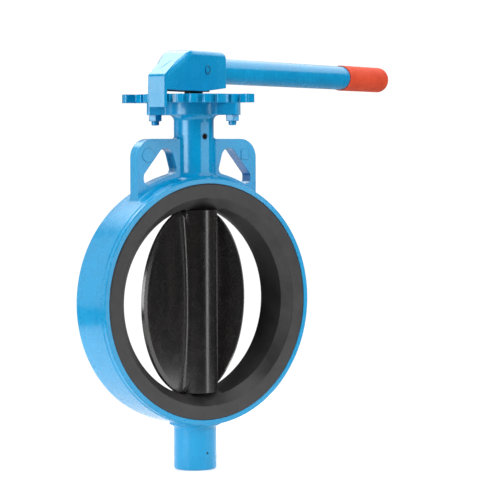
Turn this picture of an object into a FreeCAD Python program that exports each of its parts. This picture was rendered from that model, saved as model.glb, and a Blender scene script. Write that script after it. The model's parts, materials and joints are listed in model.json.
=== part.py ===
import FreeCAD, Part

import math
import os

import Sketcher

# A DN250 wafer butterfly valve with a notched hand lever.
# Frame: +Z up the stem, flow along Y, origin at the centre of the bore, front face towards -Y.
# Lever pieces are drawn about their pivot, with +X along the lever, and then turned to the rest angle.

doc = FreeCAD.newDocument("butterfly_valve")
sheet = doc.addObject("Spreadsheet::Sheet", "Sheet")

SIZES = {
    # body casting
    "ring_radius": 161.0,
    "ring_half": 34.0,
    "ring_step": 0.9,
    "ring_band_half": 26.0,
    "casting_bore": 138.0,
    "rim_inner": 153.3,
    "rim_depth": 6.0,
    "upper_neck_radius": 26.0,
    "lower_neck_radius": 28.0,
    "neck_top": 242.0,
    "neck_bottom": 219.5,
    "flange_thick": 15.0,
    "flange_core": 37.0,
    "plate_core": 47.0,
    "lobe_width": 31.0,
    "lobe_reach": 60.0,
    "bolt_circle_radius": 51.0,
    "bolt_hole_radius": 5.5,
    "ear_half_width": 93.0,
    "ear_top": 211.0,
    "ear_thick": 18.0,
    "neck_bore": 17.0,
    "clip_recess": 21.0,
    "facet_depth": 25.2,
    "window_floor": 169.5,
    # seat liner
    "bore_radius": 124.0,
    "liner_half": 35.0,
    "liner_lip": 22.5,
    "liner_mouth": 135.0,
    "pad_height": 119.0,
    "pad_radius": 34.0,
    # disc
    "disc_radius": 123.7,
    "disc_edge": 8.0,
    "disc_centre": 17.0,
    "hub_radius": 30.0,
    "hub_end": 118.5,
    # stems, bushes and seals
    "stem_radius": 14.0,
    "stem_top_radius": 12.0,
    "stem_low": 62.0,
    "stem_drive_top": 92.0,
    "stem_drive_flat": 21.0,
    "stem_shoulder": 246.0,
    "stem_square_base": 272.0,
    "stem_top": 291.0,
    "stem_square_flat": 19.0,
    "run_gap": 0.05,
    "stub_top": 70.0,
    "stub_bottom": 203.6,
    "blind_end": 204.0,
    "stub_groove": 197.0,
    "bush_inner_end": 139.0,
    "bush_inner_top": 160.0,
    "bush_outer_base": 173.0,
    "bush_outer_top": 240.0,
    "bush_lower_end": 190.0,
    "seal_height": 163.0,
    "seal_pitch": 6.5,
    # hardware
    "grub_height": 214.0,
    "grub_radius": 4.0,
    "grub_socket": 4.0,
    "neck_pin_radius": 1.5,
    "clip_base": 248.0,
    "clip_thick": 1.5,
    "clip_inner": 11.0,
    "clip_outer": 17.5,
    "screw_radius": 5.0,
    "screw_head_radius": 9.6,
    "screw_tip": 228.5,
    "nut_flat": 16.0,
    "nut_height": 8.0,
    # notch plate
    "plate_base": 257.0,
    "plate_thick": 11.0,
    "notch_radius": 80.0,
    "notch_root": 75.0,
    "notch_width": 8.6,
    "stop_radius": 95.6,
    "stop_side": 17.5,
    # lever
    "lever_angle": 23.5,
    "pivot_height": 300.4,
    "pivot_radius": 5.0,
    "lug_half": 14.4,
    "tail_outer": 89.0,
    "tail_inner": 83.4,
    "tail_half": 12.4,
    "head_half": 21.5,
    "mouth_half": 19.0,
    "head_end": 54.0,
    "tooth_inner": 78.4,
    "tooth_width": 7.4,
    "tooth_clear": 0.4,
    "tube_radius": 16.85,
    "tube_wall": 2.6,
    "tube_start": 34.0,
    "tube_end": 517.0,
    "cap_start": 401.0,
    "cap_end": 522.0,
    "cap_radius": 18.2,
    "cap_round": 4.0,
    "spring_reach": 25.0,
    "spring_radius": 4.2,
    "spring_wire": 0.65,
}

NOTCHES = [0, 11.75, 23.5, 36.25, 49, 61.75, 74.5, 90]
BOLT_ANGLES = [-45, 135]


class Size:
    """A number together with the sheet expression that gives it."""

    def __init__(self, value, text):
        self.value = value
        self.text = text

    def __add__(self, other):
        other = as_size(other)
        return Size(self.value + other.value, f"({self.text} + {other.text})")

    def __sub__(self, other):
        other = as_size(other)
        return Size(self.value - other.value, f"({self.text} - {other.text})")

    def __mul__(self, other):
        other = as_size(other)
        return Size(self.value * other.value, f"({self.text} * {other.text})")

    def __truediv__(self, other):
        other = as_size(other)
        return Size(self.value / other.value, f"({self.text} / {other.text})")

    def __neg__(self):
        return Size(-self.value, f"(0 - {self.text})")

    def __radd__(self, other):
        return as_size(other) + self

    def __rsub__(self, other):
        return as_size(other) - self


def as_size(number):
    if isinstance(number, Size):
        return number
    return Size(float(number), f"({float(number)})")


for row, (alias, number) in enumerate(SIZES.items(), 1):
    sheet.set(f"A{row}", alias)
    sheet.set(f"B{row}", str(number))
    sheet.setAlias(f"B{row}", alias)
doc.recompute()
S = {alias: Size(number, f"Sheet.{alias}") for alias, number in SIZES.items()}


def bind(item, prop, number):
    """Set a property to a size and tie it to the sheet."""
    number = as_size(number)
    item.setExpression(prop, number.text)


def move(item, x=0, y=0, z=0, axis=(0, 0, 1), angle=0):
    """Place an object, tying the position to the sheet."""
    turn = FreeCAD.Rotation(FreeCAD.Vector(*axis), as_size(angle).value)
    item.Placement = FreeCAD.Placement(FreeCAD.Vector(0, 0, 0), turn)
    for side, number in zip("xyz", (x, y, z)):
        bind(item, f"Placement.Base.{side}", number)
    return item


ALONG = {"x": ((0, 1, 0), 90), "y": ((1, 0, 0), -90), "z": ((0, 0, 1), 0)}


def cylinder(name, radius, start, end, x=0, y=0, z=0, along="z"):
    """A cylinder from start to end along one axis."""
    start, end = as_size(start), as_size(end)
    item = doc.addObject("Part::Cylinder", name)
    bind(item, "Radius", radius)
    bind(item, "Height", end - start)
    place = {"x": as_size(x), "y": as_size(y), "z": as_size(z)}
    place[along] = place[along] + start
    axis, angle = ALONG[along]
    return move(item, place["x"], place["y"], place["z"], axis, angle)


def cone(name, base, top, start, end, x=0, y=0, z=0, along="z"):
    """A cone frustum from start to end along one axis."""
    start, end = as_size(start), as_size(end)
    item = doc.addObject("Part::Cone", name)
    bind(item, "Radius1", base)
    bind(item, "Radius2", top)
    bind(item, "Height", end - start)
    place = {"x": as_size(x), "y": as_size(y), "z": as_size(z)}
    place[along] = place[along] + start
    axis, angle = ALONG[along]
    return move(item, place["x"], place["y"], place["z"], axis, angle)


def box(name, x0, x1, y0, y1, z0, z1):
    """A box between two corners."""
    low = [as_size(n) for n in (x0, y0, z0)]
    high = [as_size(n) for n in (x1, y1, z1)]
    item = doc.addObject("Part::Box", name)
    for prop, a, b in zip(("Length", "Width", "Height"), low, high):
        bind(item, prop, b - a)
    return move(item, *low)


def fuse(name, items):
    item = doc.addObject("Part::MultiFuse", name)
    item.Shapes = items
    item.Refine = True
    return item


def cut(name, base, tool):
    item = doc.addObject("Part::Cut", name)
    item.Base = base
    item.Tool = tool
    item.Refine = True
    return item


def common(name, items):
    item = doc.addObject("Part::MultiCommon", name)
    item.Shapes = items
    return item


def fillet(name, base, choose):
    """Round the edges for which choose(edge, middle) gives a radius."""
    doc.recompute()
    edges = []
    for number, edge in enumerate(base.Shape.Edges, 1):
        middle = edge.valueAt((edge.FirstParameter + edge.LastParameter) / 2)
        radius = choose(edge, middle)
        if radius:
            edges.append((number, radius, radius))
    item = doc.addObject("Part::Fillet", name)
    item.Base = base
    item.Edges = edges
    doc.recompute()
    if not item.Shape.isValid() or item.Shape.isNull():
        raise RuntimeError(f"{name}: fillet failed on {len(edges)} edges")
    return item


def mirror(name, base, normal):
    item = doc.addObject("Part::Mirroring", name)
    item.Source = base
    item.Normal = FreeCAD.Vector(*normal)
    return item


def sketch(body, name, plane, points):
    """A closed polygon whose corners are tied to the sheet."""
    item = body.newObject("Sketcher::SketchObject", name)
    origin = [f for f in body.Origin.OriginFeatures if f.Role == plane][0]
    item.AttachmentSupport = [(origin, "")]
    item.MapMode = "FlatFace"
    points = [(as_size(x), as_size(y)) for x, y in points]
    corners = [FreeCAD.Vector(x.value, y.value, 0) for x, y in points]
    for a, b in zip(corners, corners[1:] + corners[:1]):
        item.addGeometry(Part.LineSegment(a, b), False)
    count = len(points)
    for i in range(count):
        item.addConstraint(Sketcher.Constraint("Coincident", i, 2, (i + 1) % count, 1))
    for i, (x, y) in enumerate(points):
        for kind, number in (("DistanceX", x), ("DistanceY", y)):
            index = item.addConstraint(Sketcher.Constraint(kind, -1, 1, i, 1, number.value))
            item.setExpression(f"Constraints[{index}]", number.text)
    return item


def revolved(label, plane, axis, points):
    """A PartDesign body turned from one closed profile about a sketch axis."""
    body = doc.addObject("PartDesign::Body", label)
    profile = sketch(body, f"{label}_profile", plane, points)
    turn = body.newObject("PartDesign::Revolution", f"{label}_turn")
    turn.Profile = profile
    turn.ReferenceAxis = (profile, [axis])
    turn.Angle = 360
    body.Tip = turn
    return body


def prism(label, plane, points, length):
    """A PartDesign body padded both ways from one closed profile."""
    body = doc.addObject("PartDesign::Body", label)
    profile = sketch(body, f"{label}_profile", plane, points)
    pad = body.newObject("PartDesign::Pad", f"{label}_pad")
    pad.Profile = profile
    pad.Midplane = True
    bind(pad, "Length", length)
    body.Tip = pad
    return body


def tube(label, inner, outer, low, high):
    """A plain ring about Z."""
    points = [(inner, low), (outer, low), (outer, high), (inner, high)]
    return revolved(label, "XZ_Plane", "V_Axis", points)


def hexagon(name, flat, start, end, x=0, y=0, z=0, along="z"):
    """A hexagonal prism along one axis, flat is the width across flats."""
    start, end = as_size(start), as_size(end)
    item = doc.addObject("Part::Prism", name)
    item.Polygon = 6
    bind(item, "Circumradius", as_size(flat) / math.sqrt(3))
    bind(item, "Height", end - start)
    place = {"x": as_size(x), "y": as_size(y), "z": as_size(z)}
    place[along] = place[along] + start
    axis, angle = ALONG[along]
    return move(item, place["x"], place["y"], place["z"], axis, angle)


def group(name, items):
    """Several separate solids kept as one object."""
    item = doc.addObject("Part::Compound", name)
    item.Links = items
    return item


nodes = {}


def node(name, item, lever=False, pivot=False):
    """Name a finished piece; lever pieces turn to the rest angle, pivot pieces also rise to it."""
    item.Label = name
    if lever or pivot:
        item.Placement.Rotation = FreeCAD.Rotation(FreeCAD.Vector(0, 0, 1), SIZES["lever_angle"])
        bind(item, "Placement.Rotation.Angle", S["lever_angle"])
    if pivot:
        bind(item, "Placement.Base.z", S["pivot_height"])
    nodes[name] = item


# ---------------------------------------------------------------- body casting
half, band = S["ring_half"], S["ring_band_half"]
outer, low_outer = S["ring_radius"], S["ring_radius"] - S["ring_step"]
rim_y = half - S["rim_depth"]
ring = revolved("ring", "YZ_Plane", "H_Axis", [
    (-rim_y, S["casting_bore"]),
    (-rim_y, S["rim_inner"]),
    (-half, S["rim_inner"]),
    (-half, low_outer - 1),
    (-half + 1, low_outer),
    (-band - 1, low_outer),
    (-band, outer),
    (band, outer),
    (band + 1, low_outer),
    (half - 1, low_outer),
    (half, low_outer - 1),
    (half, S["rim_inner"]),
    (rim_y, S["rim_inner"]),
    (rim_y, S["casting_bore"]),
])


def upright(edge, middle):
    """Is this edge straight and parallel to Z?"""
    if edge.Curve.TypeId != "Part::GeomLine":
        return False
    return abs(edge.tangentAt(edge.FirstParameter).z) > 0.999


def two_lobed(name, core, low, high):
    """The outline that the top flange and the notch plate share: a round core and two square lobes."""
    reach = S["lobe_reach"]
    half_width = S["lobe_width"] * 0.5
    angle = BOLT_ANGLES[0]
    c, s = math.cos(math.radians(angle)), math.sin(math.radians(angle))
    bar = box(f"{name}_bar", -reach, reach, -half_width, half_width, low, high)
    bar.Placement.Rotation = FreeCAD.Rotation(FreeCAD.Vector(0, 0, 1), angle)
    bind(bar, "Placement.Base.x", reach * -c + half_width * s)
    bind(bar, "Placement.Base.y", reach * -s - half_width * c)
    solid = fuse(f"{name}_raw", [cylinder(f"{name}_core", core, low, high), bar])
    corner = math.hypot(reach.value, half_width.value)

    def corners(edge, m):
        if not upright(edge, m):
            return None
        return 5.0 if abs(math.hypot(m.x, m.y) - corner) < 0.5 else 3.0

    return fillet(f"{name}_corners", solid, corners)


flange_top = S["neck_top"] + S["flange_thick"]
flange = two_lobed("flange", S["flange_core"], S["neck_top"], flange_top)

ear_y = S["ear_thick"] * 0.5
ear = box("ear_raw", -S["ear_half_width"], S["ear_half_width"], -ear_y, ear_y, 100, S["ear_top"])
ear = fillet(
    "ear_corners", ear,
    lambda edge, m: 24.0 if m.z > 210 and abs(m.x) > 92 and abs(m.y) < 1 else None,
)
upper_neck = cylinder("upper_neck", S["upper_neck_radius"], 142, S["neck_top"])
lower_neck = cylinder("lower_neck", S["lower_neck_radius"], -S["neck_bottom"], -142)
lower_neck = fillet("lower_neck_edge", lower_neck, lambda edge, m: 3.0 if m.z < -219 else None)
hollow = cylinder("ring_hollow", S["casting_bore"] + 10, -60, 60, along="y")
trunks = cut("trunks", fuse("trunks_raw", [ear, upper_neck, lower_neck]), hollow)
pads = [
    cylinder("ear_pad_round", 9, -ear_y - 0.8, 0, x=-77, z=190, along="y"),
    box("ear_pad_flat", 69, 81, -ear_y - 0.8, 0, 184, 197),
]
outside = fuse("casting_raw", [ring, trunks, flange] + pads)


def casting_edges(edge, m):
    """Cast fillets where the necks, ears, ring and flange run into each other."""
    r = math.hypot(m.x, m.y)
    ring_r = math.hypot(m.x, m.z)
    neck = SIZES["upper_neck_radius"]
    if upright(edge, m) and abs(r - neck) < 0.3 and 165 < m.z < 211:
        return 6.0
    if abs(m.z - 242) < 0.1 and abs(r - neck) < 0.5:
        return 8.0
    if abs(m.z - 211) < 0.1 and abs(r - neck) < 0.3:
        return 5.0
    if abs(abs(m.y) - ear_y.value) < 0.1 and 150 < ring_r < 163:
        return 5.0
    if abs(abs(m.x) - SIZES["ear_half_width"]) < 0.1 and abs(m.y) < 1 and m.z < 150:
        return 5.0
    return None


outside = fillet("casting_fillets", outside, casting_edges)


def flare(name, neck, spread, ring_top, up):
    """The concave skirt between a neck and the ring."""
    low, high = sorted((ring_top - 6 * up, ring_top + spread * up))
    skirt = cylinder(f"{name}_skirt", neck + spread, low, high)
    scoop = doc.addObject("Part::Torus", f"{name}_scoop")
    bind(scoop, "Radius1", neck + spread)
    bind(scoop, "Radius2", spread)
    return cut(name, skirt, move(scoop, z=ring_top + spread * up))


outside = fuse("casting_flared", [
    outside,
    flare("flare_top", S["upper_neck_radius"], 8, SIZES["ring_radius"], 1),
    flare("flare_bottom", S["lower_neck_radius"], 6, -SIZES["ring_radius"], -1),
])

window = prism("window_tool", "XZ_Plane", [(44.6, 212.1), (84, 165), (84, 135), (22.5, 135)], 60)
window_floor = cylinder("window_floor", S["window_floor"], -40, 40, along="y")
window = cut("window_cut", window, window_floor)


def window_corners(edge, m):
    if edge.Curve.TypeId != "Part::GeomLine":
        return None
    if abs(edge.tangentAt(edge.FirstParameter).y) < 0.999:
        return None
    if m.z > 205:
        return 12.0
    return 7.0


window = fillet("window_right", window, window_corners)
window_left = mirror("window_left", window, (1, 0, 0))

flange_holes = [
    cylinder(f"flange_hole{angle}", S["bolt_hole_radius"], 230, 260,
             S["bolt_circle_radius"] * math.cos(math.radians(angle)),
             S["bolt_circle_radius"] * math.sin(math.radians(angle)))
    for angle in BOLT_ANGLES
]
cavities = fuse("casting_cavities", [
    window,
    window_left,
    cylinder("upper_bore", S["neck_bore"], 120, 245),
    cylinder("clip_recess", S["clip_recess"], S["bush_outer_top"], 260),
    cylinder("lower_bore", S["neck_bore"], -S["blind_end"], -120),
    cylinder("grub_hole", S["grub_radius"], -40, 0, z=S["grub_height"], along="y"),
    cylinder("pin_hole", S["neck_pin_radius"], -40, 0, z=-S["stub_groove"], along="y"),
    box("facet", -10, 10, -40, -S["facet_depth"], 163, 232),
] + flange_holes)
casting = cut("casting", outside, cavities)
node("body_casting", casting)


# ---------------------------------------------------------------- seat liner
lh = S["liner_half"]
liner_block = revolved("liner_block", "YZ_Plane", "H_Axis", [
    (-lh, 0),
    (-lh, S["rim_inner"] - 1.5),
    (-lh + 1.5, S["rim_inner"]),
    (-rim_y, S["rim_inner"]),
    (-rim_y, S["casting_bore"]),
    (rim_y, S["casting_bore"]),
    (rim_y, S["rim_inner"]),
    (lh - 1.5, S["rim_inner"]),
    (lh, S["rim_inner"] - 1.5),
    (lh, 0),
])
pad_tools = [
    cylinder("pad_top", S["pad_radius"], S["pad_height"], 130),
    cylinder("pad_bottom", S["pad_radius"], -130, -S["pad_height"]),
]
waterway = cylinder("waterway_round", S["bore_radius"], -50, 50, along="y")
waterway = cut("waterway_pads", waterway, fuse("pad_pair", pad_tools))
slope = (lh - S["liner_lip"]) / (S["liner_mouth"] - S["bore_radius"])
mouth_y = S["liner_lip"] - slope * (S["bore_radius"] - S["pad_height"])
mouth_end = lh + slope * 4
mouth_r = S["liner_mouth"] + 4
mouths = [
    cone("mouth_back", S["pad_height"], mouth_r, mouth_y, mouth_end, along="y"),
    cone("mouth_front", mouth_r, S["pad_height"], -mouth_end, -mouth_y, along="y"),
]
stem_hole = S["stem_radius"] + S["run_gap"]
liner_cuts = fuse("liner_cuts", [waterway, cylinder("liner_stem_hole", stem_hole, -145, 145)] + mouths)
node("seat_liner", cut("liner", liner_block, liner_cuts))

# ---------------------------------------------------------------- disc
rise = (S["disc_centre"] - S["disc_edge"]) * 0.5
rim_r = S["disc_radius"] - 5
dome_r = (rim_r * rim_r + rise * rise) / (rise * 2)
dome_y = dome_r - S["disc_centre"] * 0.5
edge = S["disc_edge"] * 0.5
plate_limits = [
    revolved("disc_blank", "YZ_Plane", "H_Axis", [
        (-20, 0),
        (-20, rim_r),
        (-edge, rim_r),
        (-edge + 1.8, S["disc_radius"]),
        (edge - 1.8, S["disc_radius"]),
        (edge, rim_r),
        (20, rim_r),
        (20, 0),
    ]),
    box("disc_ends", -130, 130, -25, 25, -S["hub_end"], S["hub_end"]),
]
for side in (-1, 1):
    ball = doc.addObject("Part::Sphere", f"disc_dome{side + 1}")
    bind(ball, "Radius", dome_r)
    plate_limits.append(move(ball, y=dome_y * side))
disc_plate = common("disc_plate", plate_limits)
disc_hub = cylinder("disc_hub", S["hub_radius"], -S["hub_end"], S["hub_end"])
disc_solid = fuse("disc_solid", [disc_plate, disc_hub])


def hub_seams(edge, m):
    """The four long seams between hub and plate."""
    r = math.hypot(m.x, m.y)
    return 10.0 if abs(r - SIZES["hub_radius"]) < 0.3 and abs(m.z) < 60 and edge.Length > 150 else None


disc_solid = fillet("disc_fillets", disc_solid, hub_seams)


def squared(name, flat, radius, low, high):
    """A square bar whose corners are turned to a radius."""
    bar = box(f"{name}_square", -flat * 0.5, flat * 0.5, -flat * 0.5, flat * 0.5, low, high)
    return common(name, [bar, cylinder(f"{name}_round", radius, low, high)])


disc_bores = fuse("disc_bores", [
    squared("disc_socket", S["stem_drive_flat"], S["stem_radius"], S["stem_low"], S["stem_drive_top"]),
    cylinder("disc_bore_top", S["stem_radius"], S["stem_drive_top"], 125),
    cylinder("disc_bore_bottom", S["stem_radius"], -125, -S["stub_top"]),
])
node("disc", cut("disc_cut", disc_solid, disc_bores), lever=True)

# ---------------------------------------------------------------- stems
clip_top = S["clip_base"] + S["clip_thick"]
top_bar = revolved("stem_turned", "XZ_Plane", "V_Axis", [
    (0, S["stem_drive_top"]),
    (S["stem_radius"], S["stem_drive_top"]),
    (S["stem_radius"], S["stem_shoulder"] - 1),
    (S["stem_radius"] - 1, S["stem_shoulder"]),
    (S["stem_top_radius"], S["stem_shoulder"]),
    (S["stem_top_radius"], S["clip_base"]),
    (S["clip_inner"], S["clip_base"]),
    (S["clip_inner"], clip_top),
    (S["stem_top_radius"], clip_top),
    (S["stem_top_radius"], S["stem_square_base"]),
    (0, S["stem_square_base"]),
])
stem_drive = squared(
    "stem_drive", S["stem_drive_flat"], S["stem_radius"], S["stem_low"], S["stem_drive_top"],
)
stem_square = squared(
    "stem_square", S["stem_square_flat"], S["stem_top_radius"], S["stem_square_base"], S["stem_top"]
)
node("upper_stem", fuse("upper_stem_solid", [top_bar, stem_drive, stem_square]), lever=True)

stub_r, groove_r = S["stem_radius"], S["stem_radius"] - 2.5
node("lower_stem", revolved("lower_stem_solid", "XZ_Plane", "V_Axis", [
    (0, -S["stub_bottom"]),
    (stub_r - 1.5, -S["stub_bottom"]),
    (stub_r, -S["stub_bottom"] + 1.5),
    (stub_r, -S["stub_groove"] - 2),
    (groove_r, -S["stub_groove"] - 2),
    (groove_r, -S["stub_groove"] + 2),
    (stub_r, -S["stub_groove"] + 2),
    (stub_r, -S["stub_top"] - 1.5),
    (stub_r - 1.5, -S["stub_top"]),
    (0, -S["stub_top"]),
]), lever=True)

# ---------------------------------------------------------------- bushes and seals
for name, low, high in (
    ("neck_bush_inner", S["bush_inner_end"], S["bush_inner_top"]),
    ("neck_bush_outer", S["bush_outer_base"], S["bush_outer_top"]),
    ("neck_bush_lower", -S["bush_lower_end"], -S["bush_inner_end"]),
):
    node(name, tube(f"{name}_solid", stem_hole, S["neck_bore"], low, high))

rings = []
for i in range(2):
    ring_seal = doc.addObject("Part::Torus", f"o_ring{i}")
    bind(ring_seal, "Radius1", (S["neck_bore"] + S["stem_radius"]) * 0.5)
    bind(ring_seal, "Radius2", (S["neck_bore"] - S["stem_radius"]) * 0.5 - S["run_gap"])
    rings.append(move(ring_seal, z=S["seal_height"] + S["seal_pitch"] * i))
node("stem_o_rings", group("o_rings", rings))

# ---------------------------------------------------------------- neck hardware
grub_out = -S["facet_depth"] + 0.5
grub = cylinder("grub_body", S["grub_radius"], grub_out, -S["neck_bore"], z=S["grub_height"], along="y")
grub_socket = hexagon(
    "grub_hex", S["grub_socket"], grub_out - 1, grub_out + 3.5, z=S["grub_height"], along="y",
)
node("neck_grub_screw", cut("grub", grub, grub_socket))

pin_y = -S["lower_neck_radius"] + 0.6
node("lower_neck_pin", cylinder(
    "neck_pin", S["neck_pin_radius"], pin_y, -groove_r - 0.8, z=-S["stub_groove"], along="y"
))

clip_ring = tube("clip_ring", S["clip_inner"], S["clip_outer"], S["clip_base"], clip_top)
clip_slot = box("clip_slot", 0, 30, -4, 4, 240, 260)
node("stem_circlip", cut("circlip", clip_ring, clip_slot), lever=True)

# ---------------------------------------------------------------- notch plate and its bolts
plate_low = S["plate_base"]
plate_high = S["plate_base"] + S["plate_thick"]


def sector(name, radius, start, sweep, low, high):
    """Part of a disc about Z."""
    item = cylinder(name, radius, low, high)
    item.Angle = sweep
    item.Placement.Rotation = FreeCAD.Rotation(FreeCAD.Vector(0, 0, 1), start)
    return item


stop_side = S["stop_side"]
stop_closed = cut(
    "stop_closed",
    sector("stop_closed_raw", S["stop_radius"], 159, 21, plate_low, plate_high),
    box("stop_closed_side", -120, 0, -20, stop_side, 250, 275),
)
stop_open = cut(
    "stop_open",
    sector("stop_open_raw", S["stop_radius"], 270, 21, plate_low, plate_high),
    box("stop_open_side", -20, stop_side, -120, 0, 250, 275),
)
plate_solid = fuse("plate_solid", [
    two_lobed("plate", S["plate_core"], plate_low, plate_high),
    sector("plate_sector", S["notch_radius"], 159, 132, plate_low, plate_high),
    stop_closed,
    stop_open,
])
plate_cuts = [cylinder("plate_bore", S["stem_top_radius"] + 0.3, 250, 275)]
for opening in NOTCHES:
    notch = box(f"notch{opening}", S["notch_root"], 100, -S["notch_width"] * 0.5,
                S["notch_width"] * 0.5, 250, 275)
    a = math.radians(180 + opening)
    notch.Placement.Rotation = FreeCAD.Rotation(FreeCAD.Vector(0, 0, 1), 180 + opening)
    bind(notch, "Placement.Base.x", S["notch_root"] * math.cos(a) + S["notch_width"] * (0.5 * math.sin(a)))
    bind(notch, "Placement.Base.y", S["notch_root"] * math.sin(a) - S["notch_width"] * (0.5 * math.cos(a)))
    plate_cuts.append(notch)

screws, nuts = [], []
for number, angle in enumerate(BOLT_ANGLES):
    x = S["bolt_circle_radius"] * math.cos(math.radians(angle))
    y = S["bolt_circle_radius"] * math.sin(math.radians(angle))
    head_top = plate_high - 0.4
    head_low = head_top - (S["screw_head_radius"] - S["screw_radius"])
    plate_cuts.append(cylinder(f"plate_hole{number}", S["bolt_hole_radius"], 250, 275, x, y))
    plate_cuts.append(cone(
        f"countersink{number}", S["screw_radius"] - 0.5, S["screw_head_radius"] + 2.4,
        head_low - 0.5, head_top + 2.4, x, y
    ))
    screw = fuse(f"screw_body{number}", [
        cylinder(f"screw_shank{number}", S["screw_radius"], S["screw_tip"] + 1, head_low + 0.5, x, y),
        cone(f"screw_point{number}", S["screw_radius"] - 1, S["screw_radius"],
             S["screw_tip"], S["screw_tip"] + 1, x, y),
        cone(f"screw_head{number}", S["screw_radius"], S["screw_head_radius"], head_low, head_top, x, y),
    ])
    screws.append(cut(
        f"screw{number}", screw, hexagon(f"screw_hex{number}", 6, head_top - 3.2, head_top + 2, x, y)
    ))
    nut_low = S["neck_top"] - S["nut_height"]
    blank = common(f"nut_blank{number}", [
        hexagon(f"nut_hex{number}", S["nut_flat"], nut_low, S["neck_top"], x, y),
        cone(f"nut_chamfer{number}", 7.7, as_size(7.7) + S["nut_height"] * math.sqrt(3),
             nut_low, S["neck_top"], x, y),
    ])
    nuts.append(cut(
        f"nut{number}", blank, cylinder(f"nut_thread{number}", S["screw_radius"], 225, 250, x, y)
    ))
plate_shape = cut("plate_sharp", plate_solid, fuse("plate_cuts", plate_cuts))


def plate_corners(edge, m):
    """Soft corners on the teeth, in the notch roots and on the stop lugs."""
    r = math.hypot(m.x, m.y)
    if not upright(edge, m) or r < SIZES["notch_root"] - 1:
        return None
    return 3.0 if r > 90 else 1.6


node("notch_plate", fillet("plate", plate_shape, plate_corners))
node("plate_screws", group("plate_screw_pair", screws))
node("plate_nuts", group("plate_nut_pair", nuts))

# ---------------------------------------------------------------- lever hub and pivot
lug = S["lug_half"]
pivot_z = S["pivot_height"]
hub_block = box("hub_block", -16, 16, -lug, lug, S["stem_square_base"], pivot_z + 9.6)
hub_block = fillet(
    "hub_rounds", hub_block,
    lambda edge, m: 8.0 if m.z > 309 and abs(m.x) > 15.9 and abs(m.y) < 1 else None,
)
hub_solid = fuse("hub_solid", [hub_block, box("hub_foot", 15, 30, -8, 8, 277, 282)])
hub_grub_z = 281
hub_cuts = fuse("hub_cuts", [
    squared("hub_socket", S["stem_square_flat"], S["stem_top_radius"], 268, S["stem_top"] + 0.5),
    cylinder("hub_pin_hole", S["pivot_radius"], -30, 30, z=pivot_z, along="y"),
    cylinder("hub_grub_hole", 3, -20, 0, z=hub_grub_z, along="x"),
])
node("lever_hub", cut("lever_hub_solid", hub_solid, hub_cuts), lever=True)

hub_grub = cylinder("hub_grub_body", 3, -15.7, -S["stem_square_flat"] * 0.5, z=hub_grub_z, along="x")
hub_grub_hex = hexagon("hub_grub_hex", 3, -17, -13, z=hub_grub_z, along="x")
node("hub_grub_screw", cut("hub_grub", hub_grub, hub_grub_hex), lever=True)

pin_head = -S["head_half"] - 0.8
clip_at = S["head_half"] + 0.6
pin_points = [
    (0, pin_head),
    (S["pivot_radius"] - 1, pin_head),
    (S["pivot_radius"], pin_head + 1),
    (S["pivot_radius"], clip_at),
    (S["pivot_radius"] - 1, clip_at),
    (S["pivot_radius"] - 1, clip_at + 1.2),
    (S["pivot_radius"], clip_at + 1.2),
    (S["pivot_radius"], clip_at + 2.6),
    (S["pivot_radius"] - 1, clip_at + 3.2),
    (0, clip_at + 3.2),
]
pin = revolved("pivot_pin_turned", "XY_Plane", "V_Axis", pin_points)
node("pivot_pin", pin, pivot=True)

clip = cut(
    "pivot_clip_ring",
    cylinder("pivot_clip_disc", S["pivot_radius"] + 3.5, clip_at, clip_at + 1.2, along="y"),
    fuse("pivot_clip_cuts", [
        cylinder("pivot_clip_hole", S["pivot_radius"] - 1, 0, 40, along="y"),
        box("pivot_clip_mouth", -3, 3, 0, 40, -20, 0),
    ]),
)
node("pivot_clip", clip, pivot=True)

# ---------------------------------------------------------------- return spring
wire = sheet.spring_wire
spring_low = 282 + wire + 0.1
spring_high = sheet.pivot_height + 14.6 - wire - 1.2
coil = Part.makeHelix(4.6, spring_high - spring_low, sheet.spring_radius)
start = FreeCAD.Vector(sheet.spring_radius, 0, 0)
section = Part.Wire(Part.makeCircle(wire, start, FreeCAD.Vector(0, 1, 0)))
spring_shape = Part.Wire(coil.Edges).makePipeShell([section], True, True)
spring = doc.addObject("Part::Feature", "spring_coil")
spring.Shape = spring_shape
move(spring, x=S["spring_reach"], z=spring_low)
node("return_spring", group("spring_in_place", [spring]), lever=True)

# ---------------------------------------------------------------- lever head, tube and grip
top = as_size(24.1)
floor = as_size(-27.9)
tail_foot = as_size(-49.4)
tail_step = floor + 0.9
crown = -38.5
side_outline = [
    (-S["tail_inner"], tail_foot),
    (-S["tail_outer"], tail_foot),
    (-S["tail_outer"] - 0.6, -30),
    (-S["tail_outer"], -8.4),
    (crown, top),
    (S["head_end"], top),
    (S["head_end"], -22.4),
    (-6, floor),
    (-60, floor),
    (-S["tail_inner"], tail_step),
]
plan_outline = [
    (-100, -S["tail_half"]),
    (-84, -S["tail_half"]),
    (-44, -S["head_half"]),
    (22, -S["head_half"]),
    (S["head_end"] + 5, -S["mouth_half"]),
    (S["head_end"] + 5, S["mouth_half"]),
    (22, S["head_half"]),
    (-44, S["head_half"]),
    (-84, S["tail_half"]),
    (-100, S["tail_half"]),
]
head_plan = fillet(
    "head_plan_soft", prism("head_plan", "XY_Plane", plan_outline, 140),
    lambda edge, m: 30.0 if upright(edge, m) and abs(m.y) > 20 else None,
)


def crown_edges(edge, m):
    """Round the top of the head where it turns down at both ends."""
    if abs(m.y) > 1 or m.z < -10:
        return None
    if m.x > SIZES["head_end"] - 1:
        return 10.0 if m.z > 20 else None
    return 6.0 if m.x < -80 else 25.0


def head_edges(edge, m):
    """Soft cast edges along both cheeks of the head and down its front corners."""
    if abs(m.y) > 7 and (m.z > 5 or m.x > SIZES["head_end"] - 0.5):
        return 7.0
    return None


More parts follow.
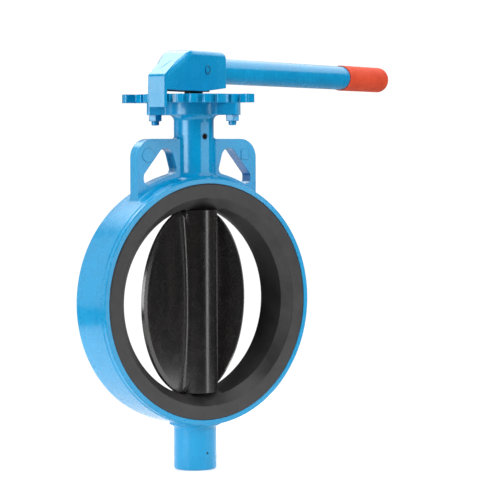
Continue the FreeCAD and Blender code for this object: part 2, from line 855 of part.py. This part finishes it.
head_side = fillet("head_side_soft", prism("head_side", "XZ_Plane", side_outline, 60), crown_edges)
head_solid = fillet("head_rounds", common("head_solid", [head_side, head_plan]), head_edges)
cavity_half = lug + 0.5
inner_side = [
    (-S["tail_inner"], -70),
    (-S["tail_inner"], -12),
    (-44, top - 9.5),
    (31, top - 9.5),
    (31, -70),
]
inner_plan = [
    (-S["tail_inner"], -8),
    (-44, -cavity_half),
    (31, -cavity_half),
    (31, cavity_half),
    (-44, cavity_half),
    (-S["tail_inner"], 8),
]
head_cavity = common("head_cavity", [
    prism("cavity_side", "XZ_Plane", inner_side, 50),
    prism("cavity_plan", "XY_Plane", inner_plan, 160),
])
tooth_low = plate_high + S["tooth_clear"] - pivot_z
tooth_half = S["tooth_width"] * 0.5
head_cuts = fuse("head_cuts", [
    head_cavity,
    cylinder("head_tube_hole", S["tube_radius"], S["tube_start"], 70, along="x"),
    cylinder("head_pin_hole", S["pivot_radius"] + S["run_gap"], -40, 40, along="y"),
])
head = fuse("head_with_tooth", [
    cut("head_shell", head_solid, head_cuts),
    box("tooth", -S["tail_inner"] - 2, -S["tooth_inner"], -tooth_half, tooth_half,
        tooth_low, tooth_low + 13),
])
node("lever_head", head, pivot=True)

lever_tube = revolved("tube_turned", "XZ_Plane", "H_Axis", [
    (S["tube_start"], S["tube_radius"] - S["tube_wall"]),
    (S["tube_start"], S["tube_radius"]),
    (S["tube_end"], S["tube_radius"]),
    (S["tube_end"], S["tube_radius"] - S["tube_wall"]),
])
node("lever_tube", lever_tube, pivot=True)

cap = revolved("cap_turned", "XZ_Plane", "H_Axis", [
    (S["cap_start"], S["tube_radius"]),
    (S["cap_start"], S["cap_radius"]),
    (S["cap_end"], S["cap_radius"]),
    (S["cap_end"], 0),
    (S["tube_end"], 0),
    (S["tube_end"], S["tube_radius"]),
])
doc.recompute()
turned = cap.Tip
end_edges = [
    f"Edge{i}" for i, e in enumerate(cap.Shape.Edges, 1)
    if abs(e.BoundBox.XMin - SIZES["cap_end"]) < 0.1 and e.BoundBox.ZLength > 30
]
rim = cap.newObject("PartDesign::Fillet", "cap_rim")
rim.Base = (turned, end_edges)
bind(rim, "Radius", S["cap_round"])
cap.Tip = rim
node("grip_cap", cap, pivot=True)

# ---------------------------------------------------------------- checks and output
doc.recompute()
for item in doc.Objects:
    if "Invalid" in item.State or "Error" in item.State:
        raise RuntimeError(f"{item.Label} did not recompute: {item.State}")
os.makedirs("parts", exist_ok=True)
for name, item in nodes.items():
    shape = item.Shape
    if shape.isNull() or not shape.isValid():
        raise RuntimeError(f"{name} has no valid shape")
    shape.exportStep(f"parts/{name}.step")
    print(name, len(shape.Solids), round(shape.Volume))
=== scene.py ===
import json
import math

import bmesh
import bpy
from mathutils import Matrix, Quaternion, Vector
from mathutils.bvhtree import BVHTree


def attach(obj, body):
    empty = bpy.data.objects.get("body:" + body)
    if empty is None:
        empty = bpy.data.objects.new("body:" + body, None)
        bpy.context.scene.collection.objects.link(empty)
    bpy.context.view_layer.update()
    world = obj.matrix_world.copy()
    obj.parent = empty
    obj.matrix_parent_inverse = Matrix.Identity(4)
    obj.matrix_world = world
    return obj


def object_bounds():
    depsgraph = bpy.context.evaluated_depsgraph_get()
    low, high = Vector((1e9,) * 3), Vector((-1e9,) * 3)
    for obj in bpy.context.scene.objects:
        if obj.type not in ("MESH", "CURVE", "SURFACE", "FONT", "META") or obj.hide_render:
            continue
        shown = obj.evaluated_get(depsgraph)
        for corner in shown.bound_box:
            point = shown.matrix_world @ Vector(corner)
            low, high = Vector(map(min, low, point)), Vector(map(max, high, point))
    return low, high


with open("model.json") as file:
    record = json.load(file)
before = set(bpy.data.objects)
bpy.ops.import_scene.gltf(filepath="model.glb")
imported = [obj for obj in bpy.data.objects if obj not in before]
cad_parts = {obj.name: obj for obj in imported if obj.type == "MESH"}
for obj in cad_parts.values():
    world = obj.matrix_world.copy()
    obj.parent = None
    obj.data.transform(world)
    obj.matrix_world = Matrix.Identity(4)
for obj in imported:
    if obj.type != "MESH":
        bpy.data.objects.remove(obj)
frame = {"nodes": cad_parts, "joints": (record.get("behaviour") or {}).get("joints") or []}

CAD_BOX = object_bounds()
NODES = frame["nodes"]
BEVEL_SAMPLES = 6
UP = Vector((0, 0, 1))


# ---------------------------------------------------------------- node helpers
class Graph:
    """A material's node tree, with short ways to add nodes and link them."""

    def __init__(self, name):
        self.material = bpy.data.materials.new(name)
        self.material.use_nodes = True
        self.tree = self.material.node_tree
        self.shader = self.tree.nodes["Principled BSDF"]
        self.coord = self.add("ShaderNodeTexCoord").outputs["Object"]

    def add(self, kind, **settings):
        node = self.tree.nodes.new(kind)
        for key, value in settings.items():
            setattr(node, key, value)
        return node

    def link(self, source, target):
        self.tree.links.new(source, target)

    def put(self, node, name, value):
        """Set an input, or link it if the value is a socket."""
        if isinstance(value, bpy.types.NodeSocket):
            self.link(value, node.inputs[name])
        else:
            node.inputs[name].default_value = value

    def noise(self, scale, detail=4.0, rough=0.55, stretch=None):
        vector = self.coord
        if stretch:
            mapping = self.add("ShaderNodeMapping")
            self.link(vector, mapping.inputs["Vector"])
            mapping.inputs["Scale"].default_value = stretch
            vector = mapping.outputs["Vector"]
        node = self.add("ShaderNodeTexNoise")
        self.link(vector, node.inputs["Vector"])
        node.inputs["Scale"].default_value = scale
        node.inputs["Detail"].default_value = detail
        node.inputs["Roughness"].default_value = rough
        return node.outputs["Fac"]

    def math(self, operation, a, b):
        node = self.add("ShaderNodeMath", operation=operation)
        self.put(node, 0, a)
        self.put(node, 1, b)
        return node.outputs[0]

    def span(self, value, low, high, out_low=0.0, out_high=1.0):
        """Carry a value from the range low to high over to the range out_low to out_high."""
        node = self.add("ShaderNodeMapRange")
        self.put(node, "Value", value)
        limits = {"From Min": low, "From Max": high, "To Min": out_low, "To Max": out_high}
        for name, number in limits.items():
            self.put(node, name, number)
        return node.outputs["Result"]

    def mix(self, factor, a, b):
        """Blend two colours; each is a socket or three numbers."""
        node = self.add("ShaderNodeMix", data_type="RGBA")
        self.put(node, "Factor", factor)
        for index, value in ((6, a), (7, b)):
            if isinstance(value, bpy.types.NodeSocket):
                self.link(value, node.inputs[index])
            else:
                node.inputs[index].default_value = (*value, 1.0)
        return node.outputs[2]

    def bump(self, height, strength, distance, normal=None):
        node = self.add("ShaderNodeBump")
        node.inputs["Strength"].default_value = strength
        node.inputs["Distance"].default_value = distance
        self.link(height, node.inputs["Height"])
        if normal:
            self.link(normal, node.inputs["Normal"])
        return node.outputs["Normal"]

    def rounded(self, radius):
        """Soft normals across an edge, as a real edge has."""
        node = self.add("ShaderNodeBevel", samples=BEVEL_SAMPLES)
        node.inputs["Radius"].default_value = radius
        return node.outputs["Normal"]

    def edges(self, radius):
        """0 on flats and near 1 where the surface turns a sharp corner."""
        bevel = self.add("ShaderNodeBevel", samples=BEVEL_SAMPLES)
        bevel.inputs["Radius"].default_value = radius
        geometry = self.add("ShaderNodeNewGeometry")
        dot = self.add("ShaderNodeVectorMath", operation="DOT_PRODUCT")
        self.link(bevel.outputs["Normal"], dot.inputs[0])
        self.link(geometry.outputs["Normal"], dot.inputs[1])
        return self.span(dot.outputs["Value"], 0.998, 0.90)

    def finish(self, colour, roughness, normal, **plain):
        """Connect the shader; plain holds inputs that are the same all over, such as Metallic."""
        self.link(colour, self.shader.inputs["Base Color"])
        self.put(self.shader, "Roughness", roughness)
        self.link(normal, self.shader.inputs["Normal"])
        for name, value in plain.items():
            self.shader.inputs[name.replace("_", " ")].default_value = value
        return self.material


def paint(name, deep, mid, cast_height, speckle, rough):
    """Glossy enamel over a cast or rolled surface: slow tone drift, orange peel, scuffs, and sharp edges
    painted lighter, partly for thin paint and partly as a painted highlight.
    """
    g = Graph(name)
    drift = g.noise(9, 3)
    patches = g.noise(46, 5, 0.6)
    tone = g.math("ADD", g.math("MULTIPLY", drift, 0.6), g.math("MULTIPLY", patches, 0.4))
    colour = g.mix(g.span(tone, 0.36, 0.62), deep, mid)
    worn_areas = g.span(g.noise(14, 6, 0.68), 0.56, 0.74)
    worn = g.math("MULTIPLY", worn_areas, g.span(g.noise(150, 4, 0.7), 0.40, 0.60))
    colour = g.mix(g.math("MULTIPLY", worn, 0.22 * speckle), colour, (0.10, 0.33, 0.55))
    # Painted highlight: sharp edges are painted a lighter blue, partly for paint thinned over the edge and
    # partly to stand in for light caught on the edge.
    edge = g.math("MULTIPLY", g.edges(0.0016), g.span(g.noise(120, 3), 0.42, 0.62))
    edge_highlight_blue = tuple(min(1.0, c * 1.15 + 0.03) for c in mid)
    colour = g.mix(g.math("MULTIPLY", edge, 0.35), colour, edge_highlight_blue)
    dust = g.span(g.noise(260, 2, 0.7), 0.66, 0.78)
    colour = g.mix(g.math("MULTIPLY", dust, 0.5 * speckle), colour, tuple(c * 0.6 for c in mid))
    gloss = g.math("ADD", g.span(patches, 0.3, 0.7, rough, rough + 0.10), g.math("MULTIPLY", worn, 0.15))
    cast = g.noise(85, 6, 0.62)
    peel = g.noise(620, 2, 0.5)
    normal = g.bump(cast, cast_height, 0.0009, g.rounded(0.0011))
    normal = g.bump(peel, 0.08, 0.00012, normal)
    return g.finish(colour, gloss, normal, Specular_Tint=(0.62, 0.87, 1.0, 1.0), Coat_Weight=0.3,
                    Coat_Roughness=0.09)


DEEP_BLUE, MID_BLUE = (0.0, 0.240, 0.490), (0.001, 0.285, 0.565)
CAST_BLUE = paint("cast_blue_enamel", DEEP_BLUE, MID_BLUE, 0.20, 0.7, 0.22)
PLATE_BLUE = paint("plate_blue_enamel", DEEP_BLUE, MID_BLUE, 0.05, 0.3, 0.15)
TUBE_BLUE = paint("tube_blue_enamel", DEEP_BLUE, MID_BLUE, 0.04, 0.2, 0.20)


def rubber():
    """Matte moulded rubber, a little dusty and shinier where it was handled."""
    g = Graph("liner_rubber")
    patches = g.noise(38, 5, 0.6)
    colour = g.mix(g.span(patches, 0.35, 0.65), (0.017, 0.016, 0.017), (0.034, 0.032, 0.033))
    dust = g.span(g.noise(190, 3, 0.7), 0.60, 0.75)
    colour = g.mix(g.math("MULTIPLY", dust, 0.30), colour, (0.075, 0.072, 0.073))
    rough = g.span(patches, 0.3, 0.7, 0.33, 0.44)
    normal = g.bump(g.noise(60, 4), 0.08, 0.0006, g.rounded(0.0012))
    normal = g.bump(g.noise(900, 3, 0.6), 0.10, 0.00012, normal)
    return g.finish(colour, rough, normal)


def disc_coat():
    """Smooth black coating over a cast disc, with faint runs down its face and painted bluish reflection
    streaks.
    """
    g = Graph("disc_black_coating")
    runs = g.noise(34, 5, 0.6, stretch=(1, 1, 0.16))
    colour = g.mix(g.span(runs, 0.35, 0.65), (0.0045, 0.0042, 0.0050), (0.0130, 0.0105, 0.0095))
    # Painted reflection: bluish streaks stand in for the blue body mirrored in the glossy black disc.
    blue_reflection_streaks = g.span(g.noise(20, 3, 0.5, stretch=(1, 1, 0.3)), 0.55, 0.75)
    colour = g.mix(g.math("MULTIPLY", blue_reflection_streaks, 0.4), colour, (0.006, 0.010, 0.015))
    colour = g.mix(g.math("MULTIPLY", g.edges(0.0014), 0.4), colour, (0.05, 0.048, 0.05))
    rough = g.span(g.noise(70, 4), 0.3, 0.7, 0.20, 0.32)
    normal = g.bump(g.noise(26, 3, 0.5, stretch=(1, 1, 0.3)), 0.25, 0.0012, g.rounded(0.0012))
    normal = g.bump(g.noise(520, 2), 0.04, 0.00012, normal)
    return g.finish(colour, rough, normal, Coat_Weight=0.7, Coat_Roughness=0.16)


def steel(name, dark, light, rough_low, rough_high, stretch):
    """Bare turned or drawn steel; its fine lines are squeezed by stretch."""
    g = Graph(name)
    lines = g.noise(420, 3, 0.6, stretch=stretch)
    patches = g.noise(50, 4)
    colour = g.mix(g.math("MULTIPLY", g.span(patches, 0.35, 0.65), g.span(lines, 0.3, 0.7)), dark, light)
    rough = g.span(lines, 0.3, 0.7, rough_low, rough_high)
    normal = g.bump(lines, 0.12, 0.00010, g.rounded(0.0005))
    return g.finish(colour, rough, normal, Metallic=1.0)


def plastic(name, dark, light, rough_low, rough_high):
    """Moulded plastic or dipped vinyl, slightly uneven in tone and grain."""
    g = Graph(name)
    patches = g.noise(34, 4, 0.6)
    colour = g.mix(g.span(patches, 0.35, 0.65), dark, light)
    rough = g.span(g.noise(110, 4), 0.3, 0.7, rough_low, rough_high)
    normal = g.bump(g.noise(240, 4, 0.6), 0.14, 0.00022, g.rounded(0.0008))
    return g.finish(colour, rough, normal, Specular_IOR_Level=0.25)


def phosphate():
    """Black phosphated steel, rubbed paler along its edges."""
    g = Graph("black_phosphate")
    patches = g.noise(140, 5, 0.65)
    colour = g.mix(g.span(patches, 0.35, 0.65), (0.010, 0.010, 0.011), (0.030, 0.030, 0.033))
    edge = g.edges(0.0008)
    colour = g.mix(g.math("MULTIPLY", edge, 0.5), colour, (0.16, 0.16, 0.17))
    rough = g.span(patches, 0.3, 0.7, 0.36, 0.55)
    normal = g.bump(g.noise(700, 3), 0.2, 0.00012, g.rounded(0.0006))
    return g.finish(colour, rough, normal, Metallic=0.6)


RUBBER = rubber()
DISC = disc_coat()
STEM = steel("stem_steel", (0.36, 0.36, 0.38), (0.62, 0.62, 0.64), 0.22, 0.38, (1, 1, 14))
SPRING = steel("spring_steel", (0.28, 0.27, 0.25), (0.50, 0.49, 0.46), 0.26, 0.42, (1, 1, 3))
BUSH = plastic("bush_acetal", (0.60, 0.56, 0.46), (0.72, 0.68, 0.58), 0.35, 0.5)
GRIP = plastic("grip_vinyl", (0.58, 0.060, 0.026), (0.68, 0.083, 0.036), 0.55, 0.68)
SEAL = plastic("seal_rubber", (0.012, 0.012, 0.012), (0.022, 0.021, 0.021), 0.45, 0.6)
BLACK = phosphate()

FINISH = {
    "body_casting": CAST_BLUE,
    "seat_liner": RUBBER,
    "disc": DISC,
    "upper_stem": BLACK,
    "lower_stem": STEM,
    "neck_bush_inner": BUSH,
    "neck_bush_outer": BUSH,
    "neck_bush_lower": BUSH,
    "stem_o_rings": SEAL,
    "neck_grub_screw": BLACK,
    "lower_neck_pin": BLACK,
    "stem_circlip": BLACK,
    "notch_plate": PLATE_BLUE,
    "plate_screws": PLATE_BLUE,
    "plate_nuts": PLATE_BLUE,
    "lever_hub": BLACK,
    "hub_grub_screw": BLACK,
    "pivot_pin": PLATE_BLUE,
    "pivot_clip": BLACK,
    "return_spring": SPRING,
    "lever_head": CAST_BLUE,
    "lever_tube": TUBE_BLUE,
    "grip_cap": GRIP,
}
for name, material in FINISH.items():
    mesh = NODES[name].data
    mesh.materials.clear()
    mesh.materials.append(material)


# ---------------------------------------------------------------- small pieces on the CAD parts
def add_piece(name, build, body, material):
    """Turn a bmesh into a piece that rides on a body."""
    mesh = bpy.data.meshes.new(name)
    bmesh.ops.recalc_face_normals(build, faces=build.faces)
    build.to_mesh(mesh)
    build.free()
    for face in mesh.polygons:
        face.use_smooth = True
    mesh.materials.append(material)
    piece = bpy.data.objects.new(name, mesh)
    bpy.context.scene.collection.objects.link(piece)
    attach(piece, body)
    return piece


def sweep(build, frames, outline, closed=False):
    """Skin an outline, given as (out, up) pairs, along frames of (centre, out, up)."""
    rings = [
        [build.verts.new(centre + out * a + up * b) for a, b in outline]
        for centre, out, up in frames
    ]
    count = len(outline)
    pairs = list(zip(rings, rings[1:]))
    if closed:
        pairs.append((rings[-1], rings[0]))
    for first, second in pairs:
        for i in range(count):
            j = (i + 1) % count
            build.faces.new((first[i], first[j], second[j], second[i]))
    if not closed:
        build.faces.new(rings[0])
        build.faces.new(reversed(rings[-1]))


def extent(name, keep):
    """Middle, half the width in X, lowest Z and highest Z of the points of a node that keep picks out."""
    points = [v.co for v in NODES[name].data.vertices if keep(v.co)]
    low = Vector([min(p[axis] for p in points) for axis in range(3)])
    high = Vector([max(p[axis] for p in points) for axis in range(3)])
    return (low + high) / 2, (high.x - low.x) / 2, low.z, high.z


def thread(name, centre, radius, low, high, pitch):
    """A helical thread ridge on the end of a screw, sunk a little into the shank."""
    build = bmesh.new()
    steps, taper_steps = 28, 8
    sink, crest, half = 0.0002, 0.00062, pitch * 0.36
    count = int((high - low - pitch) / pitch * steps)
    frames = []
    for i in range(count + 1):
        angle = math.tau * i / steps
        out = Vector((math.cos(angle), math.sin(angle), 0))
        taper = min(1.0, i / taper_steps, (count - i) / taper_steps)
        base = Vector((centre.x, centre.y, low + pitch / 2 + pitch * i / steps))
        frames.append((base + out * (radius - sink), out * max(taper, 0.05), UP))
    sweep(build, frames, [(-sink, -half), (crest, -half * 0.25), (crest, half * 0.25), (-sink, half)])
    return add_piece(name, build, "valve_body", PLATE_BLUE)


M10_PITCH = 0.0015
NUT_OVERLAP = 0.001
for number, side in enumerate((1, -1), 1):
    middle, _, nut_low, _ = extent("plate_nuts", lambda p: p.x * side > 0)
    _, tip_radius, tip_low, _ = extent(
        "plate_screws", lambda p: p.x * side > 0 and p.z < nut_low - NUT_OVERLAP
    )
    thread(f"plate_screw_thread_{number}", middle, tip_radius, tip_low, nut_low + NUT_OVERLAP, M10_PITCH)


def lever_axes():
    """The lever's pivot, the way out through its near cheek, and the way along the lever."""
    joint = next(j for j in frame["joints"] if j["name"] == "lever_tilt")
    across = Vector(joint["axis"]).normalized()
    return Vector(joint["pos_m"]), across, Vector((-across.y, across.x, 0))


PIVOT, ACROSS, ALONG = lever_axes()


def cheek_ring(name, radius, wire, proud, material):
    """A round bead on the near cheek of the lever head, about the pivot pin, or a dark ring there that is
    painted shade for the gap round the pin.
    """
    reach = max((v.co - PIVOT).dot(ACROSS) for v in NODES["pivot_pin"].data.vertices)
    centre = PIVOT + ACROSS * (reach + proud)
    build = bmesh.new()
    frames = []
    steps, sides = 48, 10
    for i in range(steps):
        angle = math.tau * i / steps
        out = ALONG * math.cos(angle) + UP * math.sin(angle)
        frames.append((centre + out * radius, out, ACROSS))
    turns = [math.tau * k / sides for k in range(sides)]
    outline = [(wire * math.cos(turn), wire * math.sin(turn)) for turn in turns]
    sweep(build, frames, outline, closed=True)
    return add_piece(name, build, "lever", material)


def gate_mark():
    """A thin raised scar across the sloping back of the head, left by the casting's gate."""
    half_width, half_top, height = 0.0007, 0.0003, 0.0003
    back_low, back_high, far, near, drop_from = 0.077, 0.058, 0.004, 0.005, 0.08
    surface = BVHTree.FromPolygons(
        [v.co.copy() for v in NODES["lever_head"].data.vertices],
        [tuple(f.vertices) for f in NODES["lever_head"].data.polygons],
    )
    start = PIVOT - ALONG * back_low - ACROSS * far
    end = PIVOT - ALONG * back_high + ACROSS * near
    run = (end - start).normalized()
    build = bmesh.new()
    frames = []
    steps = 24
    for i in range(steps + 1):
        above = start.lerp(end, i / steps) + UP * drop_from
        hit, normal, _, _ = surface.ray_cast(above, -UP)
        fade = math.sin(math.pi * (0.04 + 0.92 * i / steps))
        frames.append((hit, normal.cross(run).normalized() * (0.4 + 0.6 * fade), normal * fade))
    sweep(build, frames, [
        (-half_width, -height), (-half_top, height), (half_top, height), (half_width, -height),
    ])
    return add_piece("head_gate_mark", build, "lever", CAST_BLUE)


cheek_ring("pin_paint_bead", 0.0057, 0.0005, -0.0002, CAST_BLUE)
# Painted shade: a black ring stands in for the shadow in the gap round the pivot pin head.
cheek_ring("pin_shadow_gap", 0.0050, 0.00035, -0.0001, BLACK)
gate_mark()

# ---------------------------------------------------------------- camera
AZIMUTH, ELEVATION, ROLL = math.radians(34.56), math.radians(3.68), math.radians(-0.2)
DISTANCE = 3.0
LENS, SENSOR = 165.362, 36
# The camera looks at a place this far right of and above the bore's centre.
LOOK_RIGHT, LOOK_UP = 0.072757, 0.065834
forward = Vector((
    math.sin(AZIMUTH) * math.cos(ELEVATION),
    math.cos(AZIMUTH) * math.cos(ELEVATION),
    -math.sin(ELEVATION),
))
right = Vector((math.cos(AZIMUTH), -math.sin(AZIMUTH), 0))
up = right.cross(forward)
aim = forward * DISTANCE + right * LOOK_RIGHT + up * LOOK_UP

camera_data = bpy.data.cameras.new("camera")
camera_data.sensor_width = SENSOR
camera_data.lens = LENS
camera_data.clip_end = 60
camera = bpy.data.objects.new("camera", camera_data)
camera.location = forward * -DISTANCE
camera.rotation_mode = "QUATERNION"
camera.rotation_quaternion = aim.to_track_quat("-Z", "Y") @ Quaternion((0, 0, 1), ROLL)
bpy.context.scene.collection.objects.link(camera)
bpy.context.scene.camera = camera

ahead = Vector((forward.x, forward.y, 0)).normalized()


def from_camera(side, height, depth):
    """A place by how far it is right of, above and in front of the bore, as the camera sees it."""
    return right * side + UP * height - ahead * depth


# ---------------------------------------------------------------- floor, world, lights
def floor_paper():
    """White studio paper that glows a little, so it stays white to its far edge."""
    g = Graph("studio_paper")
    tone = g.mix(g.span(g.noise(3, 2), 0.4, 0.6), (0.62, 0.62, 0.62), (0.64, 0.64, 0.64))
    return g.finish(tone, 0.8, g.bump(g.noise(90, 3), 0.02, 0.0005), Emission_Color=(1, 1, 1, 1),
                    Emission_Strength=0.45, Specular_IOR_Level=0.1)


def studio_floor(half_size, gap):
    """A square of studio paper just under the object."""
    mesh = bpy.data.meshes.new("studio_floor")
    build = bmesh.new()
    bmesh.ops.create_grid(build, x_segments=8, y_segments=8, size=half_size)
    build.to_mesh(mesh)
    build.free()
    mesh.materials.append(floor_paper())
    floor = bpy.data.objects.new("studio_floor", mesh)
    floor.location = (0, 0, CAD_BOX[0].z - gap)
    bpy.context.scene.collection.objects.link(floor)


studio_floor(half_size=0.7, gap=0.0005)

# How bright the gloss finds the room in front of the object, behind it and overhead, and the
# backdrop that only the camera sees.
ROOM_DARK, ROOM_BACK, ROOM_TOP, BACKDROP = 0.06, 0.35, 0.15, 1.05
WHITE = (1, 1, 1, 1)


def studio_world():
    """A white backdrop, with a darker room in front of the object for its gloss to mirror."""
    world = bpy.data.worlds.new("studio")
    world.use_nodes = True
    tree = world.node_tree
    room = tree.nodes["Background"]
    coord = tree.nodes.new("ShaderNodeTexCoord")
    parts = []
    for axis, low, high, dim, bright in (
        (ahead, 0.55, 0.95, ROOM_DARK, ROOM_BACK),
        (UP, 0.25, 0.95, 0.0, ROOM_TOP),
    ):
        dot = tree.nodes.new("ShaderNodeVectorMath")
        dot.operation = "DOT_PRODUCT"
        tree.links.new(coord.outputs["Generated"], dot.inputs[0])
        dot.inputs[1].default_value = axis
        span = tree.nodes.new("ShaderNodeMapRange")
        span.interpolation_type = "SMOOTHSTEP"
        tree.links.new(dot.outputs["Value"], span.inputs["Value"])
        limits = {"From Min": low, "From Max": high, "To Min": dim, "To Max": bright}
        for name, number in limits.items():
            span.inputs[name].default_value = number
        parts.append(span.outputs["Result"])
    total = tree.nodes.new("ShaderNodeMath")
    total.operation = "ADD"
    for index, part in enumerate(parts):
        tree.links.new(part, total.inputs[index])
    tree.links.new(total.outputs[0], room.inputs["Strength"])
    room.inputs["Color"].default_value = WHITE
    backdrop = tree.nodes.new("ShaderNodeBackground")
    backdrop.inputs["Strength"].default_value = BACKDROP
    backdrop.inputs["Color"].default_value = WHITE
    seen = tree.nodes.new("ShaderNodeLightPath")
    choose = tree.nodes.new("ShaderNodeMixShader")
    tree.links.new(seen.outputs["Is Camera Ray"], choose.inputs["Fac"])
    tree.links.new(room.outputs["Background"], choose.inputs[1])
    tree.links.new(backdrop.outputs["Background"], choose.inputs[2])
    tree.links.new(choose.outputs["Shader"], tree.nodes["World Output"].inputs["Surface"])
    bpy.context.scene.world = world


studio_world()
LAMP_TARGET = Vector((0, 0, 0.05))


def softbox(name, side, height, depth, size, size_y, brightness):
    """A soft lamp placed as the camera sees it; brightness is what the gloss mirrors, 1 being white."""
    data = bpy.data.lights.new(name, "AREA")
    data.shape = "RECTANGLE"
    data.size = size
    data.size_y = size_y
    data.energy = brightness * math.pi * size * size_y
    item = bpy.data.objects.new(name, data)
    place = from_camera(side, height, depth)
    item.location = place
    item.rotation_mode = "QUATERNION"
    item.rotation_quaternion = (LAMP_TARGET - place).to_track_quat("-Z", "Y")
    bpy.context.scene.collection.objects.link(item)
    return item


# name, then metres right, up and towards the camera, width, length, and brightness
softbox("overhead_back", -0.65, 1.92, -1.25, 2.0, 1.5, 4.8)
softbox("overhead", -0.10, 2.50, 0.20, 2.0, 1.3, 2.8)
softbox("right_back", 0.95, 1.30, -1.60, 2.4, 0.9, 1.3)
softbox("left_back", -1.86, 0.55, -0.72, 0.9, 1.5, 0.9)
softbox("left_wall", -1.56, 0.40, 1.26, 1.15, 1.3, 7.5)
softbox("right_wall", 1.84, 0.15, 0.78, 0.42, 1.6, 3.2)
# This lamp only lights the front: its own reflection would burn out glossy faces in other views.
softbox("front_high", 2.20, 1.90, 1.15, 1.5, 1.5, 10.5).visible_glossy = False

scene = bpy.context.scene
scene.view_settings.view_transform = "Standard"
scene.view_settings.look = "None"
scene.view_settings.exposure = 0.0
